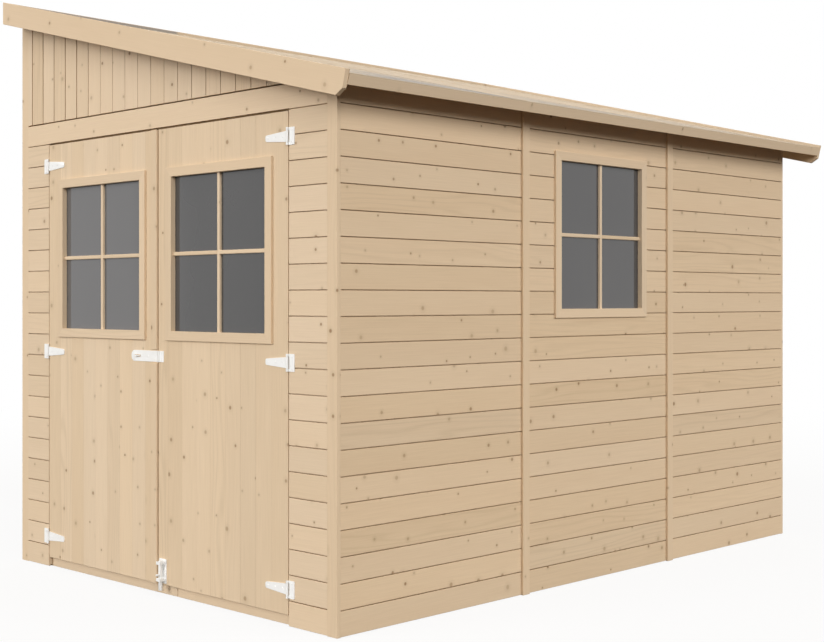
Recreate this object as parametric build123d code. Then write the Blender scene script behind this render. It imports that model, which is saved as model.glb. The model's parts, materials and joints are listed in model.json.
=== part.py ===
from build123d import *
from math import cos, radians, sin, tan
import os

# A lean-to garden shed: +X is the low eave side, -Y the door front, z = 0 the ground.
wall_width = 2036.0
wall_length = 2940.0
wall_height = 1890.0
board_thick = 16.0
stud_width = 45.0
overrun_length = 40.0

# Corner boards, joint battens and the boarded courses of the walls.
trim_width = 50.0
batten_width = 40.0
batten_thick = 10.0
door_courses = 20
header_courses = 21
panel_count = 3

# Floor and threshold.
bearer_height = 28.0
bearer_count = 5
floor_thick = 16.0
threshold_height = 35.0
threshold_thick = 17.0
threshold_setback_depth = 18.0
threshold_joint_gap = 4.0
threshold_joint_share = 0.5725

# Roof: pitch, overhangs and the layers under the top edge of the rim.
pitch_angle = 13.9
eave_overhang_length = 143.0
front_overhang_length = 94.0
rear_overhang_length = 116.0
eave_drop_height = 4.0
rim_upstand_height = 12.0
felt_thick = 4.0
felt_gap = 2.0
deck_thick = 16.0
rim_thick = 18.0
rim_height = 95.0
rim_end_height = 64.0
rim_cut_length = 50.0
fascia_thick = 16.0
fascia_drop_height = 50.0
rail_height = 60.0
purlin_height = 70.0
purlin_shares = (0.25, 0.5, 0.75)

# Doorway and the two leaves.
left_boarding_width = 168.5
right_boarding_width = 197.5
leaf_gap = 5.0
meeting_gap = 6.0
left_leaf_share = 0.5074
leaf_lift_height = 41.0
ledge_thick = 20.0
ledge_height = 70.0
ledge_margin_width = 45.0
strip_width = 38.0
strip_thick = 8.0
strip_break_height = 54.0
strip_chamfer_width = 3.0

# Window units: one size in the doors, a little narrower in the low wall.
window_side_width = 103.75
window_end_height = 99.0
left_window_shift_width = 1.0
right_window_shift_width = 14.0
side_window_drop_height = 494.0
side_window_shift_width = 3.5
side_opening_width = 547.0
casing_member_width = 36.0
casing_proud_depth = 9.0
casing_chamfer_width = 2.0
sleeve_wall_thick = 15.0
sleeve_depth = 24.0
pane_setback_depth = 12.0
pane_thick = 4.0
rebate_depth = 6.0
fit_gap = 0.5

# Strap hinges.
hinge_inset_height = 89.0
plate_thick = 3.0
pin_proud_depth = 6.0
pin_radius = 2.5
pin_play_gap = 0.3
knuckle_radius = 5.0
knuckle_play_gap = 1.0
jamb_plate_width = 34.0
jamb_plate_height = 62.0
strap_length = 122.0
strap_base_width = 40.0
strap_tip_width = 22.0
strap_round_radius = 8.0
plate_round_radius = 3.0
plate_relief_width = 7.5

# Hasp and staple.
hasp_length = 174.0
hasp_width = 43.0
hasp_slot_length = 42.0
hasp_slot_width = 9.0
hasp_slot_inset_length = 20.0
staple_wire_thick = 5.0
staple_length = 26.0
staple_reach_length = 16.0
hasp_leaf_width = 34.0
hasp_barrel_radius = 4.0

# Foot bolt on the right leaf.
bolt_inset_width = 29.0
bolt_plate_width = 46.0
bolt_plate_lift_height = 5.0
bolt_plate_height = 94.0
bolt_radius = 8.0
bolt_play_gap = 0.4
bolt_standoff_gap = 2.0
bolt_drop_length = 21.0
bolt_length = 114.0
guide_width = 26.0
guide_height = 12.0
guide_wall_thick = 3.0
guide_shares = (0.16, 0.84)
knob_radius = 4.0
knob_length = 12.0
knob_share = 0.36

# Places worked out from the sizes above.
pitch = radians(pitch_angle)
quarter_turn = 90
low_face = wall_width / 2
high_face = -wall_width / 2
front_face = -wall_length / 2
rear_face = wall_length / 2
low_inner = low_face - board_thick
high_inner = high_face + board_thick
front_inner = front_face + board_thick
rear_inner = rear_face - board_thick
frame_front = front_inner + stud_width
frame_rear = rear_inner - stud_width
low_frame = low_inner - stud_width
high_frame = high_inner + stud_width
left_end = high_face + trim_width
right_end = low_face - trim_width
floor_top = bearer_height + floor_thick
floor_front = front_face + threshold_setback_depth + threshold_thick
panel_length = wall_length / panel_count

# Roof planes: depths are measured square to the roof from the top edge of the rim.
header_top = wall_height
doorway_head = wall_height * door_courses / header_courses
eave_edge = low_face + eave_overhang_length
eave_rim = header_top - eave_drop_height
felt_depth = rim_upstand_height + felt_thick
deck_depth = felt_depth + deck_thick
rim_front = front_face - front_overhang_length
rim_rear = rear_face + rear_overhang_length
deck_front = rim_front + rim_thick
deck_rear = rim_rear - rim_thick
fascia_inner = eave_edge - fascia_thick * cos(pitch)
fascia_depth = fascia_drop_height / cos(pitch)
rim_underside = eave_rim + (eave_edge - high_face) * tan(pitch) - rim_height

# Doorway, leaves, hinge heights and windows.
doorway_left = left_end + left_boarding_width
doorway_right = right_end - right_boarding_width
leaf_bottom = leaf_lift_height
leaf_top = doorway_head - leaf_gap
leaves_width = doorway_right - doorway_left - 2 * leaf_gap - meeting_gap
left_leaf_edge = doorway_left + leaf_gap + left_leaf_share * leaves_width
left_leaf = (doorway_left + leaf_gap, left_leaf_edge)
right_leaf = (left_leaf_edge + meeting_gap, doorway_right - leaf_gap)
low_hinge = leaf_bottom + hinge_inset_height
top_hinge = leaf_top - hinge_inset_height
mid_hinge = (low_hinge + top_hinge) / 2
hinge_heights = (low_hinge, mid_hinge, top_hinge)
left_pin = doorway_left + leaf_gap / 2
right_pin = doorway_right - leaf_gap / 2
pin_line = front_face - pin_proud_depth
plate_face = front_face - plate_thick
opening_width = right_leaf[1] - right_leaf[0] - 2 * window_side_width
opening_height = top_hinge - mid_hinge - 2 * window_end_height
hole_width = opening_width + 2 * sleeve_wall_thick
side_hole_width = side_opening_width + 2 * sleeve_wall_thick
hole_height = opening_height + 2 * sleeve_wall_thick
door_window = (mid_hinge + top_hinge) / 2
side_window = header_top - side_window_drop_height
low_corner = (Align.MIN, Align.MIN, Align.MIN)
low_centre = (Align.CENTER, Align.CENTER, Align.MIN)


def block(x0, x1, y0, y1, z0, z1):
    return Pos(x0, y0, z0) * Box(x1 - x0, y1 - y0, z1 - z0, align=low_corner)


def profile(points, y0, y1):
    outline = Polyline(*[(x, y0, z) for x, z in points], close=True)
    return extrude(make_face(outline), amount=y1 - y0, dir=(0, 1, 0))


def rod(x, y, z0, z1, radius):
    return Pos(x, y, z0) * Cylinder(radius, z1 - z0, align=low_centre)


def roof_height(x, depth):
    return eave_rim + (eave_edge - x) * tan(pitch) - depth / cos(pitch)


def square_point(x, depth):
    return x - depth * sin(pitch), roof_height(x, 0) - depth * cos(pitch)


def sloped(x0, x1, top, bottom, y0, y1):
    points = [(x0, roof_height(x0, top)), (x1, roof_height(x1, top))]
    points += [(x1, roof_height(x1, bottom)), (x0, roof_height(x0, bottom))]
    return profile(points, y0, y1)


def under_roof(shape):
    x0 = high_face - overrun_length
    x1 = eave_edge + overrun_length
    lid = roof_height(x0, 0) + overrun_length
    points = [(x0, roof_height(x0, deck_depth)), (x1, roof_height(x1, deck_depth))]
    points += [(x1, lid), (x0, lid)]
    return shape - profile(points, rim_front - overrun_length, rim_rear + overrun_length)


def save(name, *solids):
    shape = solids[0] if len(solids) == 1 else Compound(children=list(solids))
    export_step(shape, "parts/" + name + ".step")


os.makedirs("parts", exist_ok=True)

# Floor on its bearers, and the two threshold boards under the doors.
bearer_step = (rear_inner - floor_front - stud_width) / (bearer_count - 1)
bearers = []
for i in range(bearer_count):
    y0 = floor_front + i * bearer_step
    bearers.append(block(high_inner, low_inner, y0, y0 + stud_width, 0, bearer_height))
save("floor_bearers", *bearers)
save("floor_deck", block(high_inner, low_inner, floor_front, rear_inner, bearer_height, floor_top))
threshold_joint = doorway_left + threshold_joint_share * (doorway_right - doorway_left)
sill_ends = ((doorway_left, threshold_joint - threshold_joint_gap), (threshold_joint, doorway_right))
sills = []
for x0, x1 in sill_ends:
    sills.append(block(x0, x1, floor_front - threshold_thick, floor_front, 0, threshold_height))
save("door_threshold", *sills)


# Front and rear walls: boarding beside the doorway, the header over it and the gables.
def gable(y0, y1):
    points = [(left_end, header_top), (left_end, roof_height(left_end, deck_depth))]
    points += [(right_end, roof_height(right_end, deck_depth)), (right_end, header_top)]
    return profile(points, y0, y1)


save("front_wall_left", block(left_end, doorway_left, front_face, front_inner, 0, doorway_head))
save("front_wall_right", block(doorway_right, right_end, front_face, front_inner, 0, doorway_head))
save("front_header", block(left_end, right_end, front_face, front_inner, doorway_head, header_top))
save("front_gable", gable(front_face, front_inner))
save("rear_wall", block(left_end, right_end, rear_inner, rear_face, 0, header_top))
save("rear_gable", gable(rear_inner, rear_face))

# Corner boards up to the roof, flush with the boarding; the high ones are notched for their fascia.
corners = []
lid = roof_height(high_face, 0)
for y0, y1 in ((front_face, front_inner), (rear_inner, rear_face)):
    post = under_roof(block(high_face, left_end, y0, y1, 0, lid))
    corners.append(post - block(high_face - overrun_length, high_inner, y0 - overrun_length,
                                y1 + overrun_length, rim_underside, lid + overrun_length))
    corners.append(under_roof(block(right_end, low_face, y0, y1, 0, header_top + overrun_length)))
save("corner_boards", *corners)

# Studs and rails of the front and rear walls, with a lintel over the doorway.
front_frame = block(high_inner, low_inner, front_inner, frame_front,
                    doorway_head, doorway_head + stud_width)
front_frame += sloped(high_inner, low_inner, deck_depth, deck_depth + rail_height,
                      front_inner, frame_front)
for x0 in (high_inner, doorway_left - stud_width, doorway_right, low_frame):
    front_frame += block(x0, x0 + stud_width, front_inner, frame_front, floor_top, roof_height(x0, 0))
save("front_wall_frame", under_roof(front_frame))

rear_frame = sloped(high_inner, low_inner, deck_depth, deck_depth + rail_height, frame_rear, rear_inner)
for z0 in (floor_top, doorway_head):
    rear_frame += block(high_inner, low_inner, frame_rear, rear_inner, z0, z0 + stud_width)
rear_step = (low_frame - high_inner) / panel_count
for i in range(panel_count + 1):
    x0 = high_inner + i * rear_step
    rear_frame += block(x0, x0 + stud_width, frame_rear, rear_inner, floor_top, roof_height(x0, 0))
save("rear_wall_frame", under_roof(rear_frame))

# Low side wall in three panels, the middle one cut through for its window, and the high wall.
seams = [front_inner, -panel_length / 2, panel_length / 2, rear_inner]
side_window_line = side_window_shift_width
panel_names = ("side_wall_front_panel", "side_wall_window_panel", "side_wall_rear_panel")
for name, y0, y1 in zip(panel_names, seams[:-1], seams[1:]):
    panel = under_roof(block(low_inner, low_face, y0, y1, 0, header_top + overrun_length))
    if name == "side_wall_window_panel":
        panel -= block(low_inner - overrun_length, low_face + overrun_length,
                       side_window_line - side_hole_width / 2, side_window_line + side_hole_width / 2,
                       side_window - hole_height / 2, side_window + hole_height / 2)
    save(name, panel)
save("high_wall", block(high_face, high_inner, front_inner, rear_inner, 0, rim_underside))

# Battens over the panel joints, outside.
battens = []
for y in seams[1:-1]:
    y0 = y - batten_width / 2
    y1 = y + batten_width / 2
    batten = block(low_face, low_face + batten_thick, y0, y1, 0, header_top + overrun_length)
    battens.append(under_roof(batten))
    battens.append(block(high_face - batten_thick, high_face, y0, y1, 0, rim_underside))
save("wall_battens", *battens)


# Studs and plates of the long walls.
def long_frame(x0, x1):
    plate_bottom = roof_height(x1, deck_depth + rail_height)
    frame = block(x0, x1, frame_front, frame_rear, floor_top, floor_top + stud_width)
    frame += block(x0, x1, frame_front, frame_rear, plate_bottom, roof_height(x0, 0))
    starts = [frame_front, frame_rear - stud_width]
    starts += [y - stud_width / 2 for y in (-panel_length, seams[1], seams[2], panel_length)]
    for y0 in starts:
        frame += block(x0, x1, y0, y0 + stud_width, floor_top, plate_bottom + overrun_length)
    return under_roof(frame)


save("side_wall_frame", long_frame(low_frame, low_inner))
save("high_wall_frame", long_frame(high_inner, high_frame))

# Roof: purlins, boarded deck and felt in three lengths.
purlins = []
for share in purlin_shares:
    x = high_inner + share * (low_inner - high_inner)
    purlins.append(sloped(x - stud_width / 2, x + stud_width / 2, deck_depth, deck_depth + purlin_height,
                          frame_front, frame_rear))
save("roof_purlins", *purlins)
deck_points = [(high_inner, roof_height(high_inner, depth)) for depth in (deck_depth, felt_depth)]
deck_points += [square_point(fascia_inner, felt_depth), square_point(fascia_inner, deck_depth)]
save("roof_deck", profile(deck_points, deck_front, deck_rear))
felt_length = (deck_rear - deck_front + felt_gap) / panel_count
felts = []
for i in range(panel_count):
    y0 = deck_front + i * felt_length
    y1 = y0 + felt_length - felt_gap
    felts.append(sloped(high_inner, eave_edge, rim_upstand_height, felt_depth, y0, y1))
save("roof_felt", *felts)

# Rim: barge boards with square, chamfered eave ends, the fascia between them and the high board.
cut_end = eave_edge - rim_cut_length
rim_points = [(high_face, roof_height(high_face, 0)), (eave_edge, eave_rim)]
rim_points += [square_point(eave_edge, rim_end_height), (cut_end, roof_height(cut_end, 0) - rim_height)]
rim_points.append((high_face, rim_underside))
front_barge = profile(rim_points, rim_front, deck_front)
save("barge_boards", front_barge, profile(rim_points, deck_rear, rim_rear))
fascia_points = [square_point(fascia_inner, fascia_depth), square_point(fascia_inner, felt_depth)]
fascia_points += [square_point(eave_edge, felt_depth), square_point(eave_edge, fascia_depth)]
save("eave_fascia", profile(fascia_points, deck_front, deck_rear))
top_points = [(high_face, rim_underside), (high_face, roof_height(high_face, 0))]
top_points += [(high_inner, roof_height(high_inner, 0)), (high_inner, rim_underside)]
save("high_fascia", profile(top_points, deck_front, deck_rear))


# Window unit: a casing on the face and a sleeve through the hole, rebated behind for its pane.
def opening(width, margin, y0, y1):
    w = width / 2 + margin
    h = opening_height / 2 + margin
    return block(-w, w, y0, y1, -h, h)


def window_unit(width):
    casing = opening(width, casing_member_width, -casing_proud_depth, 0)
    casing = chamfer(casing.faces().sort_by(Axis.Y)[0].edges(), casing_chamfer_width)
    unit = casing + opening(width, sleeve_wall_thick - fit_gap, 0, sleeve_depth)
    unit -= opening(width, 0, -casing_proud_depth - overrun_length, sleeve_depth + overrun_length)
    return unit - opening(width, rebate_depth, pane_setback_depth, sleeve_depth + overrun_length)


def window_pane(width):
    return opening(width, rebate_depth - fit_gap, pane_setback_depth, pane_setback_depth + pane_thick)


side_place = Pos(low_face, side_window_line, side_window) * Rot(0, 0, quarter_turn)
save("side_window_frame", side_place * window_unit(side_opening_width))
save("side_window_glass", side_place * window_pane(side_opening_width))


# Door leaf with its hole, its ledges behind and its window.
def door(name, span, centre):
    leaf = block(span[0], span[1], front_face, front_inner, leaf_bottom, leaf_top)
    leaf -= block(centre - hole_width / 2, centre + hole_width / 2,
                  front_face - overrun_length, front_inner + overrun_length,
                  door_window - hole_height / 2, door_window + hole_height / 2)
    save(name + "_leaf", leaf)
    ledges = []
    for z in hinge_heights:
        ledges.append(block(span[0] + ledge_margin_width, span[1] - ledge_margin_width, front_inner,
                            front_inner + ledge_thick, z - ledge_height / 2, z + ledge_height / 2))
    save(name + "_ledges", *ledges)
    place = Pos(centre, front_face, door_window)
    save(name + "_window_frame", place * window_unit(opening_width))
    save(name + "_glass", place * window_pane(opening_width))


door("left_door", left_leaf, sum(left_leaf) / 2 + left_window_shift_width)
door("right_door", right_leaf, sum(right_leaf) / 2 - right_window_shift_width)


# Strap hinge about a pin at x = 0: the jamb plate lies on -x, the tapered strap on +x.
def flat_plate(points, radius, far_end):
    plate = profile(points, plate_face, front_face)
    edges = plate.edges().filter_by(Axis.Y).sort_by(Axis.X)
    return fillet(edges[-2:] if far_end else edges[:2], radius)


def jamb_plate(z):
    h = jamb_plate_height / 2
    gap = strap_base_width / 2 + knuckle_play_gap
    points = [(-jamb_plate_width, z - h), (0, z - h), (0, z + h), (-jamb_plate_width, z + h)]
    plate = flat_plate(points, plate_round_radius, False)
    plate -= block(-plate_relief_width, overrun_length,
                   plate_face - overrun_length, front_face + overrun_length, z - gap, z + gap)
    plate += rod(0, pin_line, z - h, z - gap, knuckle_radius)
    plate += rod(0, pin_line, z + gap, z + h, knuckle_radius)
    return plate + rod(0, pin_line, z - h, z + h, pin_radius)


def strap(z):
    b = strap_base_width / 2
    t = strap_tip_width / 2
    points = [(0, z - b), (strap_length, z - t), (strap_length, z + t), (0, z + b)]
    plate = flat_plate(points, strap_round_radius, True)
    plate += rod(0, pin_line, z - b, z + b, knuckle_radius)
    bore_radius = pin_radius + pin_play_gap
    return plate - rod(0, pin_line, z - b - overrun_length, z + b + overrun_length, bore_radius)


left_place = Pos(left_pin, 0, 0)
right_place = Pos(right_pin, 0, 0)
plates = [left_place * jamb_plate(z) for z in hinge_heights]
plates += [right_place * mirror(jamb_plate(z), about=Plane.YZ) for z in hinge_heights]
save("hinge_jamb_plates", *plates)
save("left_door_straps", *[left_place * strap(z) for z in hinge_heights])
save("right_door_straps", *[right_place * mirror(strap(z), about=Plane.YZ) for z in hinge_heights])

# Cover strip on the closing edge of the left leaf, broken where the hasp crosses it.
strips = []
half_break = strip_break_height / 2
for z0, z1 in ((leaf_bottom, mid_hinge - half_break), (mid_hinge + half_break, leaf_top)):
    bar = block(left_leaf_edge - strip_width, left_leaf_edge,
                front_face - strip_thick, front_face, z0, z1)
    front_edges = bar.faces().sort_by(Axis.Y)[0].edges().filter_by(Axis.Z)
    strips.append(chamfer(front_edges, strip_chamfer_width))
save("door_cover_strip", *strips)

# Hasp strap and staple on the left leaf, hasp leaf with its barrel on the right leaf.
x1 = left_leaf_edge - fit_gap
x0 = x1 - hasp_length
h = hasp_width / 2
hasp = block(x0, x1, plate_face, front_face, mid_hinge - h, mid_hinge + h)
hasp = fillet(hasp.edges().filter_by(Axis.Y).sort_by(Axis.X)[:2], h - fit_gap)
slot_start = x0 + hasp_slot_inset_length
hasp -= block(slot_start, slot_start + hasp_slot_length,
              plate_face - overrun_length, front_face + overrun_length,
              mid_hinge - hasp_slot_width / 2, mid_hinge + hasp_slot_width / 2)
x0 = slot_start + (hasp_slot_length - staple_length) / 2
x1 = x0 + staple_length
z0 = mid_hinge - staple_wire_thick / 2
z1 = mid_hinge + staple_wire_thick / 2
staple = block(x0, x1, front_face - staple_reach_length, front_face, z0, z1)
staple -= block(x0 + staple_wire_thick, x1 - staple_wire_thick,
                front_face - staple_reach_length + staple_wire_thick, front_face - plate_thick,
                z0 - overrun_length, z1 + overrun_length)
save("hasp_strap", hasp, staple)
x0 = right_leaf[0] + hasp_barrel_radius
hasp_leaf = block(x0, right_leaf[0] + hasp_leaf_width, plate_face, front_face,
                  mid_hinge - h, mid_hinge + h)
hasp_leaf += rod(x0, front_face - hasp_barrel_radius, mid_hinge - h, mid_hinge + h, hasp_barrel_radius)
save("hasp_leaf", hasp_leaf)

# Foot bolt: a plate with two guides on the right leaf, and the sliding rod with its knob.
bolt_line_x = right_leaf[0] + bolt_inset_width
bolt_line_y = plate_face - bolt_standoff_gap - bolt_radius
bolt_plate_bottom = leaf_bottom + bolt_plate_lift_height
bolt_plate_top = bolt_plate_bottom + bolt_plate_height
bolt_plate = block(bolt_line_x - bolt_plate_width / 2, bolt_line_x + bolt_plate_width / 2,
                   plate_face, front_face, bolt_plate_bottom, bolt_plate_top)
bolt_plate = fillet(bolt_plate.edges().filter_by(Axis.Y), plate_round_radius)
guide_front = bolt_line_y - bolt_radius - bolt_play_gap - guide_wall_thick
for share in guide_shares:
    z = bolt_plate_bottom + share * bolt_plate_height
    bolt_plate += block(bolt_line_x - guide_width / 2, bolt_line_x + guide_width / 2,
                        guide_front, plate_face, z - guide_height / 2, z + guide_height / 2)
bolt_plate -= rod(bolt_line_x, bolt_line_y, bolt_plate_bottom - overrun_length,
                  bolt_plate_top + overrun_length, bolt_radius + bolt_play_gap)
save("bolt_plate", bolt_plate)

bolt_bottom = leaf_bottom - bolt_drop_length
bolt_rod = rod(bolt_line_x, bolt_line_y, bolt_bottom, bolt_bottom + bolt_length, bolt_radius)
knob_height = bolt_plate_bottom + knob_share * bolt_plate_height
knob_place = Pos(bolt_line_x, bolt_line_y - bolt_radius - knob_length, knob_height)
knob = Cylinder(knob_radius, knob_length + bolt_radius, align=low_centre)
save("bolt_rod", bolt_rod + knob_place * Rot(-quarter_turn, 0, 0) * knob)
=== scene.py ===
# %% [markdown]
# A lean-to garden shed in planed pine, dressed over its CAD frame. The CAD part
# has the walls, roof, doors and ironwork as plain solids. This lesson adds what
# a joiner would see close up: single lapped boards, mitred window casings,
# glazing bars, eased edges, screws, felt laps, and the finishes of each.
# Everything stays in the frame's own coordinates, in metres.

import json
import math
import random

import bmesh
import bpy
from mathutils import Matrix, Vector

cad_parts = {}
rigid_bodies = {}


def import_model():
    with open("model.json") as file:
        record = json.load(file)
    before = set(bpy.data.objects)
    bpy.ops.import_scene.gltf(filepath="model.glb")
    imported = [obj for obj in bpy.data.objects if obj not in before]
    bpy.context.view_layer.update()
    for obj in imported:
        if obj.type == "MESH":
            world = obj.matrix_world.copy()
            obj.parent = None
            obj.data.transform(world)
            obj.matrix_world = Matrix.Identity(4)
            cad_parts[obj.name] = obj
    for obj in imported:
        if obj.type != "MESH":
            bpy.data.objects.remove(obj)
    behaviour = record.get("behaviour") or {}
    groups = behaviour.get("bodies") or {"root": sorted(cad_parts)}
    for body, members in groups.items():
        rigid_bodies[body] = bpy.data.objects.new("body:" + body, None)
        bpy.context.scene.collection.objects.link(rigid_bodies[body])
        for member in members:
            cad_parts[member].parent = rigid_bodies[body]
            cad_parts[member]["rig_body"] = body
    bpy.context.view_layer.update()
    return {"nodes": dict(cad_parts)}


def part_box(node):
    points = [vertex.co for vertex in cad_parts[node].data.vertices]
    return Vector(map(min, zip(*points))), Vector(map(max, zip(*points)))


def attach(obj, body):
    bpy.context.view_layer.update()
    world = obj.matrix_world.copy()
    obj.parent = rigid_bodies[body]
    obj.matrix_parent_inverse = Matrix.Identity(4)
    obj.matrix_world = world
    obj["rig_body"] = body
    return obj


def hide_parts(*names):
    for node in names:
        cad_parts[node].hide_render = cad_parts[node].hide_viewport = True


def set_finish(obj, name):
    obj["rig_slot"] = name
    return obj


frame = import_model()
mm = 0.001

# %% [markdown]
# The shed stands with its doors towards -Y and its low eave towards +X. Naming
# the directions once keeps every later line readable. The pitch of the roof is
# the one slanted direction, and the underside of the roof boarding is the plane
# that trims the tops of the walls.

# %% Directions and the roof plane
to_low, to_rear, up = Vector((1, 0, 0)), Vector((0, 1, 0)), Vector((0, 0, 1))
to_high, to_front, down = -to_low, -to_rear, -up
pitch = math.radians(13.9)
down_slope = Vector((math.cos(pitch), 0, -math.sin(pitch)))
roof_square = Vector((math.sin(pitch), 0, math.cos(pitch)))
deck_thick = 16 * mm
deck_low, deck_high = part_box("roof_deck")
under_deck = (Vector((deck_low.x, 0, deck_high.z)) - roof_square * deck_thick, roof_square)
print("roof pitch in degrees:", round(math.degrees(pitch), 1))

# %% [markdown]
# Wood grain has to follow each board, and no two boards may look cut from the
# same plank. So every board carries its own map, named grain, in metres: first
# along the board, then across it, shifted by a chance amount. A second value,
# tone, makes some boards a little paler than their neighbours. The chance comes
# from one seeded source, so every run is the same.

# %% Grain map of a board
chance = random.Random(11304)
most_shift = 40


def grain_layers(bm):
    maps, shades = bm.loops.layers.uv, bm.faces.layers.float
    return maps.get("grain") or maps.new("grain"), shades.get("tone") or shades.new("tone")


def map_grain(bm, faces, run):
    side = up if abs(run.z) < 0.9 else to_low
    across = run.cross(side).normalized()
    other = run.cross(across)
    grain, tone = grain_layers(bm)
    shift = Vector((chance.uniform(0, most_shift), chance.uniform(0, most_shift)))
    shade = chance.random()
    for face in faces:
        face[tone] = shade
        for loop in face.loops:
            place = loop.vert.co
            loop[grain].uv = shift + Vector((place.dot(run), place.dot(across) + place.dot(other)))


print("grain map ready, seeded")

# %% [markdown]
# A finished mesh becomes a piece of the shed: it rides on one of the frame's
# bodies, names the finish it takes, and may stand for a plain CAD node. Planed wood
# is shaded flat, so that its broad faces stay flat up to the arris. The ironwork is
# shaded smooth, since its knuckles and rods are round, with keen edges kept keen.

# %% From mesh to piece
made = {}


def finish_piece(name, bm, body, slot, *nodes):
    mesh = bpy.data.meshes.new(name)
    bm.to_mesh(mesh)
    bm.free()
    if slot == "white_metal":
        mesh.shade_smooth()
        mesh.set_sharp_from_angle(angle=math.radians(30))
    else:
        mesh.shade_flat()
    piece = bpy.data.objects.new(name, mesh)
    bpy.context.scene.collection.objects.link(piece)
    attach(piece, body)
    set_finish(piece, slot)
    if nodes:
        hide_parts(*nodes)
    made[name] = piece
    return piece


# %% [markdown]
# The wall boards are half lapped: the front half of each board covers a tongue
# on the back half of the one below, so rain runs off and no light comes through.
# The section is drawn as eight corners and pulled out to the board's length.
# Taking off the two front arrises leaves the rounded groove that shows as a dark
# line between boards. Planes then trim a board to the roof or to its panel.

# %% One lapped board
board_thick = 16 * mm
lap = 7 * mm
lap_play = 0.4 * mm


def trim(bm, point, square):
    whole = bm.verts[:] + bm.edges[:] + bm.faces[:]
    cut = bmesh.ops.bisect_plane(bm, geom=whole, plane_co=point, plane_no=square, clear_outer=True)
    rim = [e for e in cut["geom_cut"] if isinstance(e, bmesh.types.BMEdge)]
    if rim:
        bmesh.ops.contextual_create(bm, geom=rim)


def pull(bm, corners, way):
    end = bm.faces.new([bm.verts.new(c) for c in corners])
    grown = bmesh.ops.extrude_face_region(bm, geom=[end])["geom"]
    bmesh.ops.translate(bm, vec=way, verts=[g for g in grown if isinstance(g, bmesh.types.BMVert)])
    bmesh.ops.recalc_face_normals(bm, faces=bm.faces)


def take_off(bm, edges, width, segments=2):
    bmesh.ops.bevel(bm, geom=edges, offset=width, segments=segments, profile=0.5,
                    affect="EDGES", material=-1, clamp_overlap=True)


def join_in(bm, part):
    mesh = bpy.data.meshes.new("part")
    part.to_mesh(mesh)
    part.free()
    bm.from_mesh(mesh)
    bpy.data.meshes.remove(mesh)


def around(hole, run, rise):
    """The planes that leave what is before, after, below and above a hole, seen along a board."""
    a0, a1 = sorted(c.dot(run) for c in hole)
    b0, b1 = sorted(c.dot(rise) for c in hole)
    before, after = (run * a0, run), (run * a1, -run)
    between = [(run * a0, -run), (run * a1, run)]
    return [before], [after], between + [(rise * b0, rise)], between + [(rise * b1, -rise)]


def lay_board(bm, start, run, rise, out, length, cover, ease, gap, trims, hole=None):
    half = board_thick / 2
    low, high = gap / 2, cover - gap / 2
    section = [(low, 0), (high, 0), (high, half), (high + lap, half), (high + lap, board_thick),
               (low + lap, board_thick), (low + lap, half + lap_play), (low, half + lap_play)]
    board = bmesh.new()
    pull(board, [start + rise * a - out * d for a, d in section], run * length)
    front = [e for e in board.edges
             if all(abs((v.co - start).dot(out)) < 1e-6 for v in e.verts)
             and abs((e.verts[0].co - e.verts[1].co).dot(run)) > length / 2]
    take_off(board, front, ease)
    for point, square in trims:
        trim(board, point, square)
    map_grain(board, board.faces, run)
    reach = sorted(c.dot(rise) for c in hole) if hole else (0, 0)
    foot = start.dot(rise)
    if hole and foot < reach[1] and foot + cover + lap > reach[0]:
        for planes in around(hole, run, rise):
            rest = board.copy()
            for point, square in planes:
                trim(rest, point, square)
            join_in(bm, rest)
        board.free()
    else:
        join_in(bm, board)


print("board section", round(board_thick / mm), "mm thick, lap", round(lap / mm), "mm")

# %% [markdown]
# A wall is laid course by course from one edge to the other. The last course is
# whatever width is left, and the gaps may differ from course to course. Faces down
# in the grooves are marked, so that the pine finish can paint shade into them. All boards of one
# panel make one piece, which stands for the panel's plain CAD solid.

# %% Laying a whole panel
wall_cover = 90 * mm
wall_ease = 2.0 * mm
wall_gaps = (2.4 * mm,)
least_course = 6 * mm
casing_cover = 17 * mm


def mark_grooves(bm, start, rise, height, margin):
    groove = bm.faces.layers.float.new("groove")
    for face in bm.faces:
        place = (face.calc_center_median() - start).dot(rise)
        face[groove] = float(abs(face.normal.dot(rise)) > 0.5 and margin < place < height - margin)


def lay_panel(name, body, slot, nodes, start, run, rise, out, length, height,
              cover=wall_cover, first=None, ease=wall_ease, gaps=wall_gaps, trims=(), hole=None):
    bm = bmesh.new()
    limits = list(trims) + [(start + rise * height, rise)]
    laid, courses = 0.0, 0
    while height - laid > least_course:
        width = min(first if first and not courses else cover, height - laid)
        gap = gaps[min(courses, len(gaps) - 1)]
        lay_board(bm, start + rise * laid, run, rise, out, length, width, ease, gap, limits, hole)
        laid += width
        courses += 1
    mark_grooves(bm, start, rise, height, max(gaps))
    print(name, courses, "courses")
    return finish_piece(name, bm, body, slot, *nodes)


def window_hole(node, out):
    low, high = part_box(node)
    hidden = casing_cover * (Vector((1, 1, 1)) - Vector([abs(c) for c in out]))
    return low + hidden, high - hidden


for node in ("side_wall_front_panel", "side_wall_window_panel", "side_wall_rear_panel"):
    low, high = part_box(node)
    hole = window_hole("side_window_frame", to_low) if "window" in node else None
    lay_panel(node + "_boards", "shed", "wall_boarding", [node], Vector((high.x, low.y, low.z)),
              to_rear, up, to_low, high.y - low.y, high.z - low.z, trims=[under_deck], hole=hole)

# %% [markdown]
# The front wall is boarded level beside the doorway, with one board as a header
# right across, cut back a little over the doors. The back wall and the tall wall at
# the high side aren't seen in the photograph, so they plainly repeat the boarding.

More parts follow.
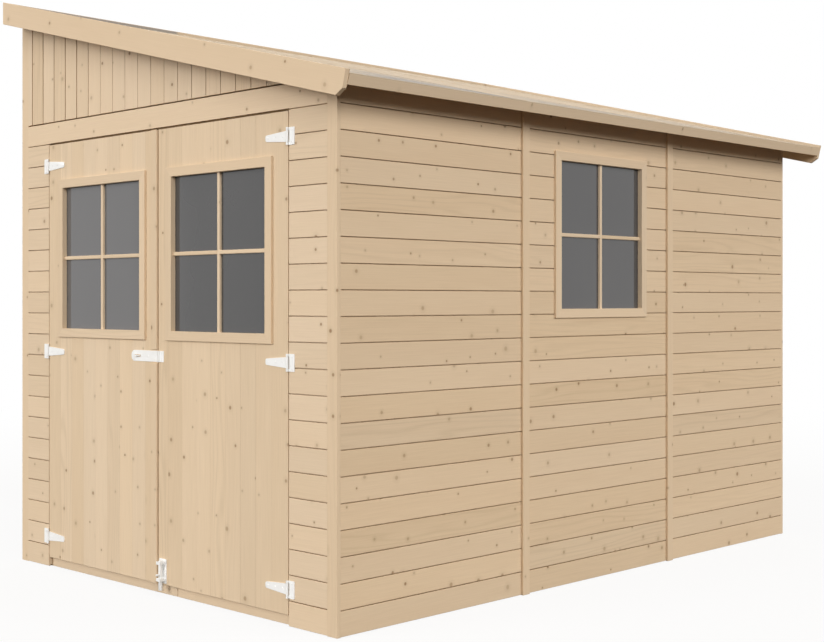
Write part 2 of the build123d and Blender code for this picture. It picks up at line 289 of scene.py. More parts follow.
# %% Front, back and high walls
door_left, door_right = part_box("front_wall_left")[1].x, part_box("front_wall_right")[0].x
door_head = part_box("front_header")[0].z
head_play = 3 * mm
clearance = (Vector((door_left, 0, door_head - lap)), Vector((door_right, 0, door_head + head_play)))
for node in ("front_wall_left", "front_wall_right", "front_header"):
    low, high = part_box(node)
    lay_panel(node + "_boards", "shed", "front_boarding", [node], low.copy(), to_low, up, to_front,
              high.x - low.x, high.z - low.z, hole=clearance if node == "front_header" else None)
low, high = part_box("rear_wall")
lay_panel("rear_wall_boards", "shed", "wall_boarding", ["rear_wall"], Vector((low.x, high.y, low.z)),
          to_low, up, to_rear, high.x - low.x, high.z - low.z)
low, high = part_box("high_wall")
lay_panel("high_wall_boards", "shed", "wall_boarding", ["high_wall"], low.copy(),
          to_rear, up, to_high, high.y - low.y, high.z - low.z)

# %% [markdown]
# The gables over the header are boarded upright, 88 mm to a board, and trimmed to
# the slope of the roof. The same call lays them as lays the walls, turned a quarter.
# They stop a little above the header, which leaves an open, dark joint there. The
# tall boards have shrunk most, so the joints are widest at that end.

# %% Gables
gable_cover = 88 * mm
gable_gaps = [4.5 * mm] * 6 + [1.4 * mm] * 7 + [2 * mm]
gable_first, gable_ease, gable_joint = 33 * mm, 1.4 * mm, 4 * mm
lead = 6 * mm
gables = (("front_gable", "front_boarding", to_front), ("rear_gable", "wall_boarding", to_rear))
for node, slot, out in gables:
    low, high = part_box(node)
    start = Vector((low.x - lead, low.y if out == to_front else high.y, low.z + gable_joint))
    lay_panel(node + "_boards", "shed", slot, [node], start, up, to_low, out, high.z - low.z,
              high.x - low.x + lead, cover=gable_cover, first=gable_first + lead, ease=gable_ease,
              gaps=gable_gaps, trims=[under_deck, (low, to_high)])

# %% [markdown]
# Each door is a leaf of tight upright boards whose joints hardly show, so their
# arrises are barely eased. Both leaves start at the hinge side. The third board of
# the right leaf has shrunk a little, so its joints show. The hole for the window is
# cut through the boards, a little smaller than the casing that hides it.

# %% Door leaves
door_cover, door_ease = 88 * mm, 0.3 * mm
tight, shrunk = 0.1 * mm, 0.8 * mm
leaves = (("left_door", to_low, [tight]), ("right_door", to_high, [tight, tight, shrunk, tight]))
for name, rise, gaps in leaves:
    low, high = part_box(name + "_leaf")
    edge = low.x if rise == to_low else high.x
    lay_panel(name + "_boards", name, "door_boards", [name + "_leaf"], Vector((edge, low.y, low.z)),
              up, rise, to_front, high.z - low.z, high.x - low.x, cover=door_cover,
              ease=door_ease, gaps=gaps, hole=window_hole(name + "_window_frame", to_front))

# %% [markdown]
# The floor runs lengthwise over its bearers. The roof boarding runs down the slope
# over the purlins, with its good face below, where it shows under the eaves.

# %% Floor and roof boarding
floor_ease, floor_gap = 1 * mm, 0.6 * mm
roof_ease, roof_gap = 2 * mm, 0.8 * mm
low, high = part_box("floor_deck")
lay_panel("floor_boards_laid", "shed", "floor_boards", ["floor_deck"], Vector((low.x, low.y, high.z)),
          to_rear, to_low, up, high.y - low.y, high.x - low.x, ease=floor_ease, gaps=(floor_gap,))
high_corner = under_deck[0] + Vector((0, deck_low.y, 0))
slope_length = (deck_high.x - high_corner.x) / math.cos(pitch) - deck_thick * math.tan(pitch)
lay_panel("roof_boards_laid", "shed", "roof_boards", ["roof_deck"], high_corner, down_slope, to_rear,
          -roof_square, slope_length, deck_high.y - deck_low.y, ease=roof_ease, gaps=(roof_gap,),
          trims=[(deck_low, to_high)])

# %% [markdown]
# Corner boards, battens, barge boards and the ironwork already have the right shape
# in CAD. Only their edges are too keen: planed timber and pressed steel both have
# eased arrises that catch the light. A copy of the solid is welded, its flat faces
# are joined up again, and its sharp edges are taken off by a chosen width.

# %% Easing a CAD solid
weld_reach = 0.01 * mm
flat_angle, keen_angle = math.radians(0.5), math.radians(30)


def islands(bm):
    """Faces in groups that hang together, sorted by place so that chance falls alike in every run."""
    left, groups = set(bm.faces), []
    while left:
        found, edge = set(), [left.pop()]
        while edge:
            face = edge.pop()
            found.add(face)
            near = {f for e in face.edges for f in e.link_faces} & left
            left -= near
            edge += near
        groups.append(found)
    return sorted(groups, key=lambda faces: min(tuple(v.co) for f in faces for v in f.verts))


def ease_solid(node, slot, ease, run=None, segments=2):
    solid = frame["nodes"][node]
    bm = bmesh.new()
    bm.from_mesh(solid.data)
    grain_layers(bm)
    bmesh.ops.remove_doubles(bm, verts=bm.verts, dist=weld_reach)
    bmesh.ops.dissolve_limit(bm, angle_limit=flat_angle, verts=bm.verts, edges=bm.edges)
    keen = [e for e in bm.edges if len(e.link_faces) == 2 and e.calc_face_angle() > keen_angle]
    take_off(bm, keen, ease, segments)
    count = 0
    for faces in islands(bm):
        corners = [v.co for f in faces for v in f.verts]
        size = [max(c[i] for c in corners) - min(c[i] for c in corners) for i in range(3)]
        longest = (to_low, to_rear, up)[size.index(max(size))]
        map_grain(bm, faces, run or longest)
        count += 1
    print(node, "eased,", count, "solids")
    return finish_piece(node + "_eased", bm, solid["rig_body"], slot, node)


corner_ease, strip_ease, trim_ease, rough_ease = 0.6 * mm, 1 * mm, 1.5 * mm, 2 * mm
ease_solid("corner_boards", "trim_boards", corner_ease)
ease_solid("wall_battens", "trim_boards", rough_ease)
ease_solid("barge_boards", "trim_boards", trim_ease, run=down_slope)
for node in ("eave_fascia", "high_fascia", "door_threshold"):
    ease_solid(node, "trim_boards", trim_ease)
ease_solid("door_cover_strip", "trim_boards", strip_ease)
for node in ("left_door_ledges", "right_door_ledges"):
    ease_solid(node, "door_ledges", rough_ease)
for node in ("roof_purlins", "floor_bearers"):
    ease_solid(node, "frame_timber", rough_ease)

# %% [markdown]
# The studs and rails inside are one solid a wall in CAD. As timber they are single
# lengths, so each is a block of its own, eased and with its grain along it. They
# show through the open doors.

# %% Wall framing
stud, timber_ease = 45 * mm, 1.5 * mm
top_plate = 60 * mm
panel_wide = 980 * mm


def timber(bm, low, high, run, trims=()):
    part = bmesh.new()
    bmesh.ops.create_cube(part, size=1)
    bmesh.ops.scale(part, vec=high - low, verts=part.verts)
    bmesh.ops.translate(part, vec=(low + high) / 2, verts=part.verts)
    for point, square in trims:
        trim(part, point, square)
    take_off(part, part.edges[:], timber_ease, 1)
    map_grain(part, part.faces, run)
    join_in(bm, part)


def long_wall_frame(node):
    low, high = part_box(node)
    bm = bmesh.new()
    timber(bm, low, Vector((high.x, high.y, low.z + stud)), to_rear)
    top = high.z - (high.x - low.x) * math.tan(pitch) - top_plate
    timber(bm, Vector((low.x, low.y, top)), high, to_rear, trims=[under_deck])
    middles = [panel_wide * share for share in (-1, -0.5, 0.5, 1)]
    starts = [low.y, high.y - stud] + [y - stud / 2 for y in middles]
    for y in starts:
        timber(bm, Vector((low.x, y, low.z + stud)), Vector((high.x, y + stud, top)), up)
    print(node, "has", 2 + len(starts), "timbers")
    return finish_piece(node + "_timbers", bm, "shed", "frame_timber", node)


long_wall_frame("side_wall_frame")
long_wall_frame("high_wall_frame")

# %% [markdown]
# The end walls have studs up to a rail along the roof slope. At the front, two of
# them stand beside the doorway and carry a lintel; at the back they are spaced
# evenly, with a bottom rail and one as high as the doors. Packing closes the gap
# under the front studs, between the boarding and the floor.

# %% End wall framing


def end_wall_frame(node, lefts, rails):
    low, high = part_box(node)
    bm = bmesh.new()
    under_rail = (under_deck[0] - roof_square * top_plate, roof_square)
    over_rail = (under_rail[0], -roof_square)
    timber(bm, low, high, down_slope, trims=[under_deck, over_rail])
    stops = sorted(lefts)
    for x in stops:
        timber(bm, Vector((x, low.y, low.z)), Vector((x + stud, high.y, high.z)), up, trims=[under_rail])
    for z in rails:
        for x0, x1 in zip(stops[:-1], stops[1:]):
            start = Vector((x0 + stud, low.y, z))
            timber(bm, start, Vector((x1, high.y, z + stud)), to_low, trims=[under_rail])
    print(node, "has", len(stops), "studs")
    return finish_piece(node + "_timbers", bm, "shed", "frame_timber", node)


bm = bmesh.new()
sole_low, sole_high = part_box("floor_deck")
boards_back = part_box("front_wall_left")[1].y
for x0, x1 in ((sole_low.x, door_left), (door_right, sole_high.x)):
    timber(bm, Vector((x0, boards_back, 0)), Vector((x1, sole_low.y, sole_high.z)), to_low)
finish_piece("front_sole_packing", bm, "shed", "frame_timber")
low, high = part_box("front_wall_frame")
end_wall_frame("front_wall_frame", [low.x, door_left - stud, door_right, high.x - stud], [door_head])
low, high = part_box("rear_wall_frame")
spaces = 3
step = (high.x - stud - low.x) / spaces
end_wall_frame("rear_wall_frame", [low.x + step * i for i in range(spaces + 1)], [low.z, door_head])

# %% [markdown]
# A window casing is one moulded section run round the opening and mitred at the
# corners: a flat face 36 mm wide outside, a lining through the wall, and a rebate
# behind that holds the pane. Each of the four lengths is drawn as its section,
# pulled out, and cut at both ends by a slanting plane.

# %% Mitred casings
casing_wide, casing_proud, casing_ease = 36 * mm, 9 * mm, 1 * mm
lining_wide, lining_deep = 14.5 * mm, 24 * mm
rebate = 6 * mm
on_face = 1e-6


def window_place(name, out):
    low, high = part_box(name + "_frame")
    across = to_low if abs(out.y) > 0.5 else to_rear
    front = max(low.dot(out), high.dot(out))
    middle = (low + high) / 2
    middle += out * (front - middle.dot(out))
    half_wide = (high - low).dot(across) / 2 - casing_wide
    half_tall = (high - low).dot(up) / 2 - casing_wide
    pane = front - max(c.dot(out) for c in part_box(name.replace("_door_window", "_door") + "_glass"))
    return middle, across, half_wide, half_tall, pane


def mitred_casing(name, body, out):
    middle, across, half_wide, half_tall, pane = window_place(name, out)
    back = casing_proud + lining_deep
    section = [(0, 0), (casing_wide, 0), (casing_wide, casing_proud), (lining_wide, casing_proud),
               (lining_wide, back), (rebate, back), (rebate, pane), (0, pane)]
    bm = bmesh.new()
    sides = ((across, up, half_wide, half_tall), (across, down, half_wide, half_tall),
             (up, across, half_tall, half_wide), (up, -across, half_tall, half_wide))
    for run, away, half_run, half_away in sides:
        edge = middle + away * half_away
        start = edge - run * (half_run + casing_wide)
        length = bmesh.new()
        pull(length, [start + away * w - out * d for w, d in section], run * 2 * (half_run + casing_wide))
        front = [e for e in length.edges
                 if all(abs((v.co - middle).dot(out)) < on_face for v in e.verts)
                 and abs((e.verts[0].co - e.verts[1].co).dot(run)) > half_run]
        take_off(length, front, casing_ease)
        trim(length, edge + run * half_run, run - away)
        trim(length, edge - run * half_run, -run - away)
        map_grain(length, length.faces, run)
        join_in(bm, length)
    print(name, "casing of four lengths, pane", round(pane / mm, 1), "mm back")
    return finish_piece(name + "_casing", bm, body, "window_casing", name + "_frame")


windows = (("side_window", "shed", to_low), ("left_door_window", "left_door", to_front),
           ("right_door_window", "right_door", to_front))
for name, body, out in windows:
    mitred_casing(name, body, out)

# %% [markdown]
# Two glazing bars cross in front of each pane. They lie against the glass and stop
# a little behind the casing's face. The upright bar runs through; the level one is
# in two halves, so the crossing is a real joint.

# %% Glazing bars
bar_wide, bar_back, bar_ease = 15 * mm, 11 * mm, 3 * mm


def glazing_bars(name, body, out):
    middle, across, half_wide, half_tall, pane = window_place(name, out)
    bar = bar_wide / 2
    bm = bmesh.new()
    for start, run, side, reach in ((middle - up * half_tall, up, across, 2 * half_tall),
                                    (middle - across * half_wide, across, up, half_wide - bar),
                                    (middle + across * bar, across, up, half_wide - bar)):
        length = bmesh.new()
        section = [(-bar, bar_back), (bar, bar_back), (bar, pane), (-bar, pane)]
        pull(length, [start + side * w - out * d for w, d in section], run * reach)
        front = [e for e in length.edges
                 if all((middle - v.co).dot(out) < bar_back + on_face for v in e.verts)
                 and abs((e.verts[0].co - e.verts[1].co).dot(run)) > reach / 2]
        take_off(length, front, bar_ease, 3)
        map_grain(length, length.faces, run)
        join_in(bm, length)
    print(name, "bars", round((pane - bar_back) / mm, 1), "mm deep")
    return finish_piece(name + "_bars", bm, body, "window_casing")


for name, body, out in windows:
    glazing_bars(name, body, out)

# %% [markdown]
# The hinges, hasp and bolt are pressed steel with a white coat. Their solids only
# need a fine ease along the edges.

# %% White ironwork
iron_ease = 0.5 * mm
for node in ("hinge_jamb_plates", "left_door_straps", "right_door_straps", "hasp_strap", "hasp_leaf",
             "bolt_plate", "bolt_rod"):
    ease_solid(node, "white_metal", iron_ease, segments=1)

# %% [markdown]
# Every plate is held by screws. A screw head is a short cone with a small socket
# sunk in the middle. There are dozens, so each has few faces, and all the screws of
# one body are one piece.

# %% Screw heads
screw_radius, screw_tall, screw_socket, screw_sunk = 3.4 * mm, 1.6 * mm, 0.8 * mm, 0.7 * mm
plate_thick = 3 * mm
plate_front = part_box("left_door_leaf")[0].y - plate_thick


def screw_heads(name, body, places):
    bm = bmesh.new()
    for x, z in places:
        head = bmesh.new()
        bmesh.ops.create_cone(head, cap_ends=True, segments=12, radius1=screw_radius,
                              radius2=screw_radius * 0.75, depth=screw_tall)
        crown = max(head.faces, key=lambda f: f.calc_center_median().z)
        bmesh.ops.inset_region(head, faces=[crown], thickness=screw_radius * 0.4)
        bmesh.ops.translate(head, vec=down * screw_socket, verts=crown.verts)
        bmesh.ops.rotate(head, matrix=to_front.to_track_quat("Z", "Y").to_matrix(), verts=head.verts)
        bmesh.ops.translate(head, vec=Vector((x, plate_front - screw_sunk, z)), verts=head.verts)
        map_grain(head, head.faces, up)
        join_in(bm, head)
    print(name, len(places), "screws")
    return finish_piece(name, bm, body, "white_metal")


half_ledge, pin_inset = 35 * mm, 2.5 * mm
strap_screws = (28 * mm, 68 * mm, 108 * mm)
jamb_screw_out, jamb_screw_rise = 20 * mm, 22 * mm
hasp_leaf_shift, hasp_leaf_rise = 5 * mm, 13 * mm
hasp_strap_screws = ((18 * mm, -12 * mm), (18 * mm, 12 * mm), (60 * mm, 0))
bolt_screw_side, bolt_screw_end = 6 * mm, 40 * mm
ledge_low, ledge_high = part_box("left_door_ledges")
hinge_z = [ledge_low.z + half_ledge, (ledge_low.z + ledge_high.z) / 2, ledge_high.z - half_ledge]
pins = {"left_door": (door_left + pin_inset, 1), "right_door": (door_right - pin_inset, -1)}
for side, (pin, way) in pins.items():
    spots = [(pin + way * x, z) for z in hinge_z for x in strap_screws]
    if side == "right_door":
        low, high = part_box("hasp_leaf")
        middle = (low.x + high.x) / 2 + hasp_leaf_shift
        spots += [(middle, hinge_z[1] + rise) for rise in (-hasp_leaf_rise, hasp_leaf_rise)]
        low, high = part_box("bolt_plate")
        spots += [(x, z) for x in (low.x + bolt_screw_side, high.x - bolt_screw_side)
                  for z in (low.z + bolt_screw_end, high.z - bolt_screw_end)]
    else:
        low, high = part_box("hasp_strap")
        spots += [(high.x - x, hinge_z[1] + rise) for x, rise in hasp_strap_screws]
    screw_heads(side + "_screws", side, spots)
spots = [(pin - way * jamb_screw_out, z + rise) for pin, way in pins.values()
         for z in hinge_z for rise in (-jamb_screw_rise, jamb_screw_rise)]
screw_heads("jamb_screws", "shed", spots)

# %% [markdown]
# The roof is covered in mineral felt, unrolled down the slope. A roll is a metre
# wide and each length laps over the next by a hand's breadth, so a length covers
# 900 mm. A thin strip with eased edges shows the lap at each joint. The felt is
# also turned up inside the rim on three sides. At the eave its edge stands a little
# proud of the fascia, over a slim tapered fillet.

# %% Felt and its laps
felt_low, felt_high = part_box("roof_felt")
felt_thick, felt_cover, felt_lap, lap_thick = 4 * mm, 900 * mm, 72 * mm, 0.8 * mm
felt_back, felt_short, felt_joint, felt_ease = 1 * mm, 4 * mm, 1 * mm, 0.3 * mm
strip_start, strip_short = 2 * mm, 6 * mm
felt_eave = Vector((felt_high.x, 0, felt_low.z)) + roof_square * felt_thick
felt_eave.x -= felt_back
felt_run = (felt_high.x - felt_low.x) / math.cos(pitch) - felt_short
felt_wide = felt_high.y - felt_low.y
lengths = math.ceil(felt_wide / felt_cover)


def slab_on_felt(bm, along, y0, length, width, thick, sunk=0.0):
    low_edge = felt_eave - down_slope * along - roof_square * sunk
    corners = [(0, 0), (0, width), (thick, width), (thick, 0)]
    part = bmesh.new()
    pull(part, [Vector((low_edge.x, y0 + w, low_edge.z)) + roof_square * t for t, w in corners],
         -down_slope * length)
    rim = [e for e in part.edges if e.calc_face_angle(0) > 0.5]
    take_off(part, rim, felt_ease, 1)
    map_grain(part, part.faces, down_slope)
    join_in(bm, part)


bm = bmesh.new()
for i in range(lengths):
    width = min(felt_cover, felt_wide - felt_cover * i) - felt_joint
    slab_on_felt(bm, 0, felt_low.y + felt_cover * i, felt_run, width, felt_thick, felt_thick)
finish_piece("felt_lengths", bm, "shed", "roofing_felt", "roof_felt")
bm = bmesh.new()
for i in range(1, lengths):
    start = felt_low.y + felt_cover * i - felt_lap
    slab_on_felt(bm, strip_start, start, felt_run - strip_short, felt_lap, lap_thick)
finish_piece("felt_laps", bm, "shed", "roofing_felt")
print("felt in", lengths, "lengths")

bm = bmesh.new()
upstand, skin, from_rim = 11.5 * mm, 1.2 * mm, 3 * mm
for y0 in (felt_low.y, felt_high.y - skin):
    slab_on_felt(bm, strip_start, y0, felt_run - strip_short, skin, upstand)
slab_on_felt(bm, felt_run - from_rim, felt_low.y, skin, felt_wide, upstand)
finish_piece("felt_upstands", bm, "shed", "roofing_felt")

bm = bmesh.new()
fillet_thick, fillet_tall, fillet_inset = 3.7 * mm, 33 * mm, 1 * mm
fascia_top = Vector((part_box("eave_fascia")[1].x, felt_low.y + fillet_inset, felt_low.z))
fascia_top.z += (felt_high.x - fascia_top.x) * math.tan(pitch)
section = [(0, 0), (fillet_thick, 0), (0, fillet_tall)]
pull(bm, [fascia_top + down_slope * a - roof_square * d for a, d in section],
     to_rear * (felt_wide - 2 * fillet_inset))
map_grain(bm, bm.faces, to_rear)
finish_piece("eave_fillet", bm, "shed", "trim_boards")
print("felt turned up", round(upstand / mm, 1), "mm at the rim")

# %% [markdown]
# Finishes are written as node trees. Sums of values that vary over a surface read
# best as plain sums, so a small class wraps a socket and turns + - * / into Math
# nodes, from either side. All other nodes come from one method that sets a node's
# options first and then its sockets.

# %% A small language for finishes


class Amount:
    def __init__(self, tree, socket):
        self.tree, self.socket = tree, socket

    def sum(self, operation, first, second):
        node = self.tree.nodes.new("ShaderNodeMath")
        node.operation = operation
        for socket, item in zip(node.inputs, (first, second)):
            feed(self.tree, socket, item)
        return Amount(self.tree, node.outputs[0])

    def __add__(self, other):
        return self.sum("ADD", self, other)

    def __sub__(self, other):
        return self.sum("SUBTRACT", self, other)

    def __mul__(self, other):
        return self.sum("MULTIPLY", self, other)

    def __truediv__(self, other):
        return self.sum("DIVIDE", self, other)

    def __pow__(self, other):
        return self.sum("POWER", self, other)

    def __radd__(self, other):
        return self.sum("ADD", other, self)

    def __rsub__(self, other):
        return self.sum("SUBTRACT", other, self)

    def __rmul__(self, other):
        return self.sum("MULTIPLY", other, self)

    def __rtruediv__(self, other):
        return self.sum("DIVIDE", other, self)


def feed(tree, socket, item):
    if isinstance(item, Amount):
        tree.links.new(item.socket, socket)
    else:
        socket.default_value = item


class Finish:
    def __init__(self, tree):
        self.tree = tree
        tree.nodes.clear()

    def add(self, kind, settings=None, sockets=None, out=None):
        node = self.tree.nodes.new("ShaderNode" + kind)
        for key, value in (settings or {}).items():
            setattr(node, key, value)
        for key, value in (sockets or {}).items():
            named = [s for s in node.inputs if s.name == key and s.enabled]
            feed(self.tree, named[0] if named else node.inputs[key], value)
        shown = {s.name: s for s in node.outputs if s.enabled}
        return Amount(self.tree, shown.get(out) or next(iter(shown.values()), None))

    def mix(self, share, first, second, blend="MIX"):
        return self.add("Mix", {"data_type": "RGBA", "blend_type": blend},
                        {"Factor": share, "A": first, "B": second})

    def ramp_between(self, value, low, high):
        return self.add("MapRange", {"interpolation_type": "SMOOTHSTEP"},
                        {"Value": value, "From Min": low, "From Max": high})


def rgb(red, green, blue):
    def linear(v):
        v /= 255
        return v / 12.92 if v <= 0.04045 else ((v + 0.055) / 1.055) ** 2.4
    return (linear(red), linear(green), linear(blue), 1.0)


def new_finish(name):
    material = bpy.data.materials.new(name)
    material.use_nodes = True
    return material, Finish(material.node_tree)


def show(finish, sockets):
    shader = finish.add("BsdfPrincipled", {}, sockets)
    finish.add("OutputMaterial", {}, {"Surface": shader})


print("finish helpers ready")

# %% [markdown]
# Planed pine has three layers of detail. Fine fibre runs along the board. Broad
# bands of late wood wander along it, stronger on some boards than on others. Small
# brown knots sit here and there, each with a faint halo. All three read the grain
# map, so they follow every board, whichever way it lies.

# %% Pine
# The first colour is painted shade for the grooves between boards.
groove_shade_brown, knot_brown = rgb(148, 106, 64), rgb(132, 92, 52)
drift_scale, fibre_scale = (0.9, 9, 1), (5, 330, 1)
band_pitch, band_wander = 260, 34
knot_cells, knot_least, knot_spread = 7.2, 0.03, 0.04


def pine(name, pale, warm, knot_share=0.5, contrast=1.0, roughness=0.62):
    material, f = new_finish(name)
    grain = f.add("UVMap", {"uv_map": "grain"})
    tone = f.add("Attribute", {"attribute_name": "tone"}, out="Fac")
    drift = f.add("TexNoise", {"noise_dimensions": "2D"},
                  {"Vector": f.add("Mapping", {}, {"Vector": grain, "Scale": drift_scale}),
                   "Scale": 1.0, "Detail": 2.0})
    fibre = f.add("TexNoise", {"noise_dimensions": "2D"},
                  {"Vector": f.add("Mapping", {}, {"Vector": grain, "Scale": fibre_scale}),
                   "Scale": 1.0, "Detail": 4.0, "Roughness": 0.6})
    across = f.add("SeparateXYZ", {}, {"Vector": grain}, out="Y")
    bands = f.add("Math", {"operation": "SINE"}, {"Value": across * band_pitch + drift * band_wander})
    late = (bands * 0.5 + 0.5) ** 3
    figure = f.ramp_between(f.add("Math", {"operation": "FRACT"}, {"Value": tone * 7.3}), 0.35, 1.0)
    spot = {"Vector": grain, "Scale": knot_cells, "Randomness": 1.0}
    reach = f.add("TexVoronoi", {"voronoi_dimensions": "2D"}, spot, out="Distance")
    lot = f.add("TexVoronoi", {"voronoi_dimensions": "2D"}, spot, out="Color")
    draw = f.add("SeparateColor", {}, {"Color": lot}, out="Red")
    dice = f.add("SeparateColor", {}, {"Color": lot}, out="Green")
    here = f.add("Math", {"operation": "LESS_THAN"}, {0: draw, 1: knot_share})
    size = dice * dice * knot_spread + knot_least
    depth = draw / knot_share
    knot = f.ramp_between(reach / size, 1.2, 0.5) * here * (depth * depth * 0.5 + 0.3)
    halo = f.ramp_between(reach / size, 3.2, 0.8) * here
    body = f.mix(drift * 0.7 + fibre * 0.3, pale, warm)
    shade = 1 - (late * figure * 0.06 + (fibre - 0.5) * 0.12 + (tone - 0.5) * 0.08) * contrast - halo * 0.07
    hue = f.add("Math", {"operation": "FRACT"}, {"Value": tone * 13.7}) - 0.5
    groove = f.add("Attribute", {"attribute_name": "groove"}, out="Fac")
    tint = f.add("CombineColor", {}, {"Red": shade, "Green": shade ** 1.08 * (hue * 0.02 + 1),
                                      "Blue": shade ** 1.3 * (hue * 0.06 + 1)})
    body = f.mix(1.0, body, tint, "MULTIPLY")
    # Painted shade: the marked groove faces are darkened towards brown.
    body = f.mix(groove * 0.7, body, groove_shade_brown)
    colour = f.mix(knot, body, knot_brown)
    height = fibre * 0.5 + late * 0.3 - knot * 0.4
    dent = f.add("Bump", {}, {"Strength": 0.25, "Distance": 0.4 * mm, "Height": height})
    show(f, {"Base Color": colour, "Roughness": roughness + fibre * 0.12 - knot * 0.12, "Normal": dent,
             "Specular IOR Level": 0.3})
    print(name, "with", len(f.tree.nodes), "nodes")
    return material


finishes = {
    "front_boarding": pine("pale_pine", rgb(228, 205, 175), rgb(222, 197, 166), knot_share=0.7),
    "door_boards": pine("door_pine", rgb(230, 207, 177), rgb(222, 197, 165), knot_share=0.6, contrast=1.25),
    "trim_boards": pine("trim_pine", rgb(227, 203, 173), rgb(221, 196, 164), knot_share=0.6, contrast=0.5),
    "window_casing": pine("casing_pine", rgb(228, 205, 175), rgb(222, 197, 166), knot_share=0.2),
    "wall_boarding": pine("wall_pine", rgb(227, 203, 171), rgb(219, 192, 159), knot_share=0.85),
    "frame_timber": pine("framing_pine", rgb(216, 188, 148), rgb(203, 172, 130), roughness=0.7),
    "floor_boards": pine("floor_pine", rgb(214, 186, 146), rgb(200, 168, 126)),
    "roof_boards": pine("roof_pine", rgb(190, 155, 112), rgb(170, 134, 92), roughness=0.75),
    "door_ledges": pine("ledge_pine", rgb(220, 194, 156), rgb(209, 180, 140)),
}

# %% [markdown]
# Roofing felt is a matt sheet faced with fine stone grit. It is sandy and bleached.
# On each length a greyer patch lies along the eave, beside the lap. The patches fade
# from one length to the next, and the first length is grey at the high rim too.

# %% Felt finish
material, f = new_finish("mineral_felt")
place = f.add("TexCoord", {}, {}, out="Object")
grit = f.add("TexNoise", {}, {"Vector": place, "Scale": 420.0, "Detail": 3.0})
cloud = f.add("TexNoise", {}, {"Vector": place, "Scale": 3.0, "Detail": 4.0})
x = f.add("SeparateXYZ", {}, {"Vector": place}, out="X")
y = f.add("SeparateXYZ", {}, {"Vector": place}, out="Y")
laid = (y - felt_low.y) / felt_cover
number = f.add("Math", {"operation": "FLOOR"}, {"Value": laid})
across = f.add("Math", {"operation": "FRACT"}, {"Value": laid}) * felt_cover
from_eave = felt_high.x - x
streak = f.add("TexNoise", {}, {"Vector": f.add("Mapping", {}, {"Vector": place, "Scale": (1.6, 11, 1.6)}),
                                "Scale": 1.0, "Detail": 5.0})
ragged = (cloud + streak - 1) * 0.55
beside_lap = f.ramp_between(across - from_eave * 0.9 + ragged * 0.5, -0.16, 0.2)
behind_lip = f.ramp_between(from_eave, 4 * mm, 20 * mm)
up_slope = f.ramp_between(1.3 - from_eave - across * 0.45 + ragged, 0.0, 0.95)
fading = 1 - number * 0.3
rim = felt_high.x - felt_low.x - 20 * mm
at_rim = f.ramp_between(from_eave, rim, rim + 5 * mm) * f.ramp_between(laid, 1.0, 0.97)
# A greyer patch along the eave beside each lap, and grey at the high rim of the first length.
grey_patch = beside_lap * behind_lip * up_slope * fading + at_rim
colour = f.mix(grey_patch, rgb(204, 185, 159), rgb(160, 152, 144))
speck = grit * 0.5 + 0.75
speckled = f.add("CombineColor", {}, {"Red": speck, "Green": speck, "Blue": speck})
colour = f.mix(1.0, colour, speckled, "MULTIPLY")
dent = f.add("Bump", {}, {"Strength": 0.5, "Distance": 0.6 * mm, "Height": grit})
show(f, {"Base Color": colour, "Roughness": 0.85 + grit * 0.1, "Normal": dent})
finishes["roofing_felt"] = material
print("felt lengths cover", round(felt_cover, 3), "m")

# %% [markdown]
# The panes look flat grey against the dark inside of the shed. They are a smoky
# sheet that lets a little of the inside through, with faint smears in the gloss. The
# left door's pane is a lighter grey, and the side pane a little lighter.

# %% Glass finish
material, f = new_finish("smoky_pane")
place = f.add("TexCoord", {}, {}, out="Object")
smear = f.add("TexNoise", {}, {"Vector": place, "Scale": 2.2, "Detail": 3.0})
x = f.add("SeparateXYZ", {}, {"Vector": place}, out="X")
# The left door's pane is made lighter grey, and the side pane a little lighter.
lighter_pane = f.ramp_between(x, 0.25, -0.25) + f.ramp_between(x, 0.8, 0.95) * 0.35
colour = f.mix(lighter_pane, f.mix(smear, rgb(66, 66, 67), rgb(76, 75, 75)), rgb(105, 104, 105))
show(f, {"Base Color": colour, "Roughness": smear * 0.04 + 0.03, "Alpha": smear * 0.06 + 0.88, "IOR": 1.7})
finishes["window_glass"] = material
print("pane finish ready")

# %% [markdown]
# The ironwork is coated white, with a slight orange-peel texture and a little dust
# in soft patches.

# %% White coat finish
material, f = new_finish("white_coat")
place = f.add("TexCoord", {}, {}, out="Object")
peel = f.add("TexNoise", {}, {"Vector": place, "Scale": 900.0, "Detail": 1.0})
cloud = f.add("TexNoise", {}, {"Vector": place, "Scale": 40.0, "Detail": 3.0})
colour = f.mix(cloud, rgb(250, 250, 249), rgb(242, 242, 240))
dent = f.add("Bump", {}, {"Strength": 0.12, "Distance": 0.2 * mm, "Height": peel})
show(f, {"Base Color": colour, "Roughness": cloud * 0.15 + 0.32, "Normal": dent})
finishes["white_metal"] = material
print("white coat ready")

# %% [markdown]
# Each piece now takes the finish of its slot. The panes are still the CAD nodes, so
# their own material slots are filled.

# %% Putting the finishes on
for piece in made.values():
    piece.data.materials.clear()
    piece.data.materials.append(finishes[piece["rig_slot"]])
for node in ("side_window_glass", "left_door_glass", "right_door_glass"):
    pane = frame["nodes"][node]
    for slot in pane.material_slots:
        slot.material = finishes["window_glass"]
print(len(made), "pieces finished")

# %% [markdown]
# The stage is a plain floor and a white surround, as in a catalogue. Seen by the
# camera, in gloss or through glass, both are white. The light that bounces off the
# floor is kept low, so that the eaves stay dark below, as they are outdoors.

# %% Floor and surround


def seen_directly(f):
    path = {name: f.add("LightPath", {}, {}, out=name)
            for name in ("Is Camera Ray", "Is Glossy Ray", "Is Transmission Ray")}
    total = path["Is Camera Ray"] + path["Is Glossy Ray"] + path["Is Transmission Ray"]
    return f.add("Math", {"operation": "MINIMUM"}, {0: total, 1: 1.0})


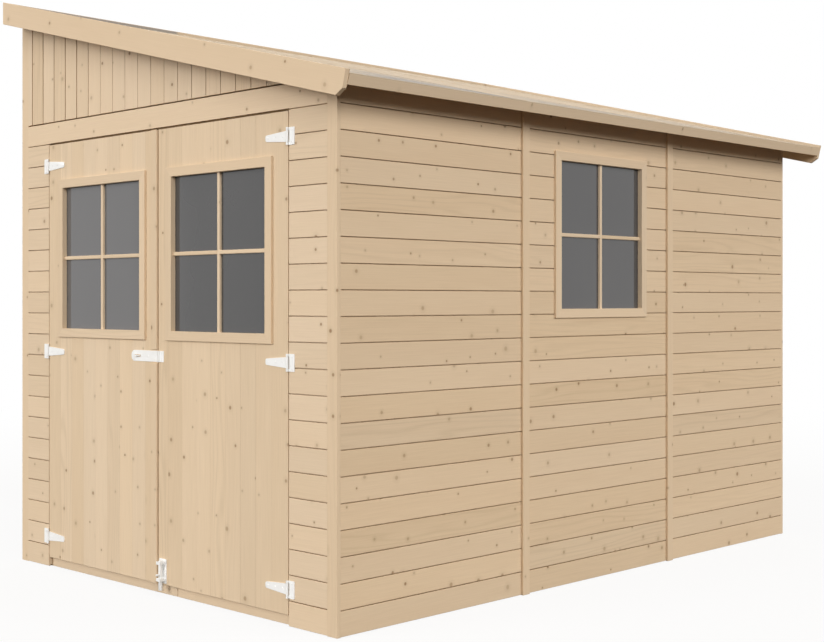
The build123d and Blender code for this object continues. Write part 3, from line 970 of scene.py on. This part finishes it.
ground_reach, ground_drop = 60, 1 * mm
bm = bmesh.new()
bmesh.ops.create_grid(bm, x_segments=1, y_segments=1, size=ground_reach)
bmesh.ops.translate(bm, vec=down * ground_drop, verts=bm.verts)
mesh = bpy.data.meshes.new("floor")
bm.to_mesh(mesh)
bm.free()
floor = bpy.data.objects.new("floor", mesh)
bpy.context.scene.collection.objects.link(floor)
material, f = new_finish("pale_floor")
white = f.add("Emission", {}, {"Color": (1, 1, 1, 1), "Strength": 1.0})
lit = f.add("BsdfDiffuse", {}, {"Color": (0.9, 0.9, 0.9, 1)})
bounce = f.add("BsdfDiffuse", {}, {"Color": (0.06, 0.055, 0.05, 1)})
place = f.add("TexCoord", {}, {}, out="Object")
away = f.add("VectorMath", {"operation": "LENGTH"}, {0: place}, out="Value")
fade = f.ramp_between(away, 2.5, 9.0) * 0.12 + 0.88
shown = f.add("MixShader", {}, {"Fac": fade, 1: lit, 2: white})
either = f.add("MixShader", {}, {"Fac": seen_directly(f), 1: bounce, 2: shown})
f.add("OutputMaterial", {}, {"Surface": either})
floor.data.materials.append(material)

world = bpy.data.worlds.new("surround")
bpy.context.scene.world = world
world.use_nodes = True
f = Finish(world.node_tree)
dome = f.add("Background", {}, {"Color": (1, 0.84, 0.62, 1), "Strength": 0.2})
white = f.add("Background", {}, {"Color": (1, 1, 1, 1), "Strength": 1.0})
either = f.add("MixShader", {}, {"Fac": seen_directly(f), 1: dome, 2: white})
f.add("OutputWorld", {}, {"Surface": either})
print("floor and surround ready")

# %% [markdown]
# Five broad, far-off lamps light the shed. Four stand low: at the front left for the
# doors, at the front right for both walls, at the back right for the long wall, and a
# weaker one at the back left for the sides away from the camera. One high above
# lights the roof. They have no fall-off, so the light is even along the walls, and
# their width makes soft shadows under the eaves.

# %% Lamps
lamp_distance = 12


def broad_lamp(name, towards, level, width):
    """A lamp in the direction towards; level 1 shows a facing surface in its own colour."""
    lamp = bpy.data.lights.new(name, "SUN")
    lamp.energy, lamp.angle = level * math.pi, math.radians(width)
    holder = bpy.data.objects.new(name, lamp)
    holder.location = Vector(towards).normalized() * lamp_distance
    holder.rotation_euler = Vector(towards).to_track_quat("Z", "Y").to_euler()
    bpy.context.scene.collection.objects.link(holder)
    print(name, "level", level)


broad_lamp("front_left_lamp", (-0.35, -0.90, 0.24), level=0.63, width=36)
broad_lamp("front_right_lamp", (0.80, -0.54, 0.36), level=0.445, width=30)
broad_lamp("back_right_lamp", (0.85, 0.45, 0.36), level=0.385, width=30)
broad_lamp("back_left_lamp", (-0.62, 0.74, 0.26), level=0.36, width=36)
broad_lamp("top_lamp", (0.10, -0.10, 1.0), level=0.17, width=40)

# %% [markdown]
# The camera stands where the photograph was taken from: at chest height, a little
# under five metres off the near corner, looking level. A small downward shift of
# the frame takes in the ground without tilting the walls.

# %% Camera
eye = bpy.data.cameras.new("eye")
eye.lens, eye.sensor_width = 60.558, 36
eye.shift_y = -0.0254
camera = bpy.data.objects.new("eye", eye)
camera.location = (4.44705, -4.61645, 1.13587)
camera.rotation_euler = (math.radians(90), 0, math.radians(44.37))
bpy.context.scene.collection.objects.link(camera)
bpy.context.scene.camera = camera
bpy.context.scene.view_settings.view_transform = "Standard"
print("camera lens", eye.lens, "mm")

# %% End
print("script done")
